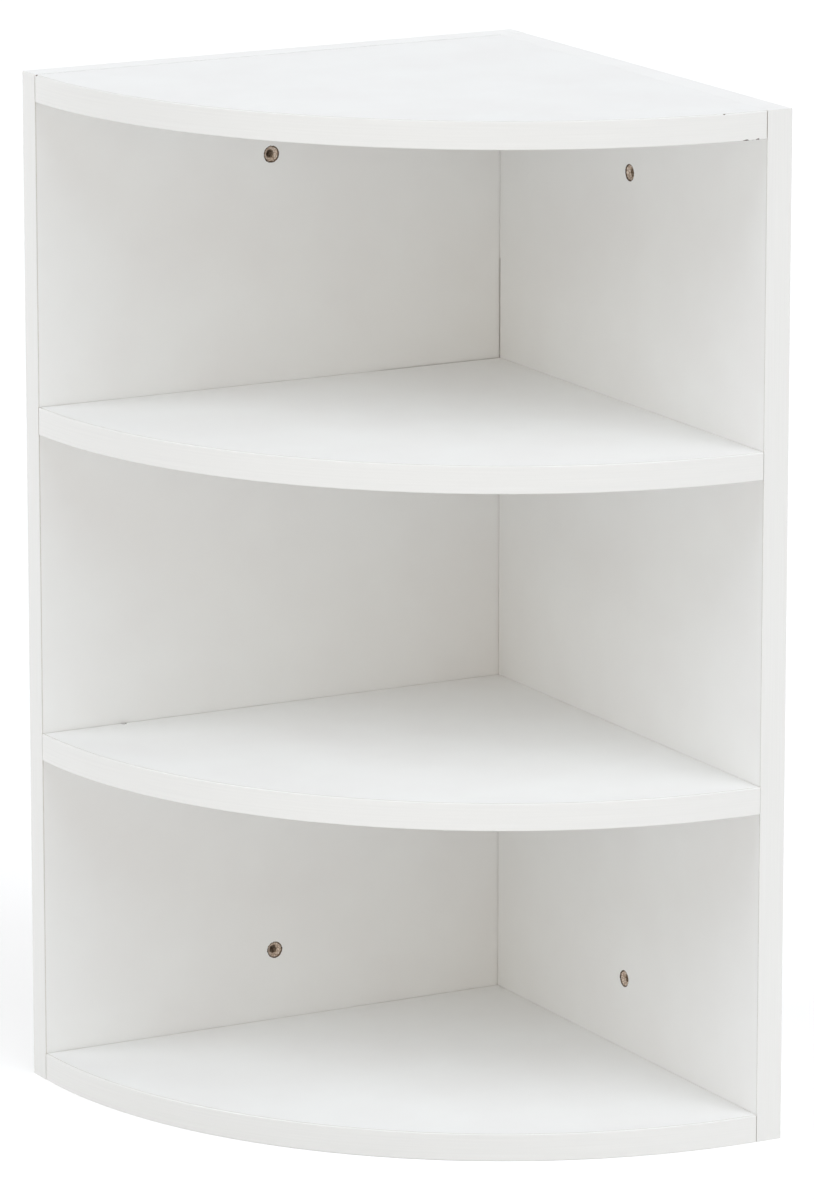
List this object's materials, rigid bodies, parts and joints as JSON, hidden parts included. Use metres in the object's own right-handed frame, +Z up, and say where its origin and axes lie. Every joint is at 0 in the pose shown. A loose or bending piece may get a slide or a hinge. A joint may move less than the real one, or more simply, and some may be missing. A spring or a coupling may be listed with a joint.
{
  "type": "corner shelf unit",
  "caption": "White corner shelf unit: upright panels at a right angle carry quarter-round boards with curved fronts and open compartments, and have countersunk holes for wall screws.",
  "frame": {"origin": "middle of the rectangle that the unit covers on the floor, at the height of the boards' undersides", "axes": "+Z up; the left panel stands along X at +Y, against the back wall; the right panel stands along Y at +X, against the side wall; the open side faces -X and -Y"},
  "size_m": [0.3, 0.3006, 0.56],
  "materials": {
    "white_melamine_chipboard": "chipboard faced with satin white melamine, fine pearl texture",
    "white_edging": "satin white plastic edging strip",
    "zinc_plated_steel": "bright zinc-plated steel",
    "beech": "plain turned beech"
  },
  "bodies": {
    "root": {"dowel_corner_lower": "beech", "dowel_corner_upper": "beech", "dowel_left_bottom": "beech", "dowel_left_lower": "beech", "dowel_left_top": "beech", "dowel_left_upper": "beech", "dowel_right_bottom": "beech", "dowel_right_lower": "beech", "dowel_right_top": "beech", "dowel_right_upper": "beech", "edging_left_bottom": "white_edging", "edging_left_front": "white_edging", "edging_left_rear": "white_edging", "edging_left_top": "white_edging", "edging_right_bottom": "white_edging", "edging_right_front": "white_edging", "edging_right_top": "white_edging", "edging_shelf_bottom": "white_edging", "edging_shelf_lower": "white_edging", "edging_shelf_top": "white_edging", "edging_shelf_upper": "white_edging", "left_panel": "white_melamine_chipboard", "right_panel": "white_melamine_chipboard", "screw_corner_high": "zinc_plated_steel", "screw_corner_low": "zinc_plated_steel", "screw_corner_middle": "zinc_plated_steel", "screw_left_bottom_front": "zinc_plated_steel", "screw_left_bottom_rear": "zinc_plated_steel", "screw_left_lower_front": "zinc_plated_steel", "screw_left_lower_rear": "zinc_plated_steel", "screw_left_top_front": "zinc_plated_steel", "screw_left_top_rear": "zinc_plated_steel", "screw_left_upper_front": "zinc_plated_steel", "screw_left_upper_rear": "zinc_plated_steel", "screw_right_bottom_front": "zinc_plated_steel", "screw_right_bottom_rear": "zinc_plated_steel", "screw_right_lower_front": "zinc_plated_steel", "screw_right_lower_rear": "zinc_plated_steel", "screw_right_top_front": "zinc_plated_steel", "screw_right_top_rear": "zinc_plated_steel", "screw_right_upper_front": "zinc_plated_steel", "screw_right_upper_rear": "zinc_plated_steel", "shelf_bottom": "white_melamine_chipboard", "shelf_lower": "white_melamine_chipboard", "shelf_top": "white_melamine_chipboard", "shelf_upper": "white_melamine_chipboard"}
  },
  "joints": []
}
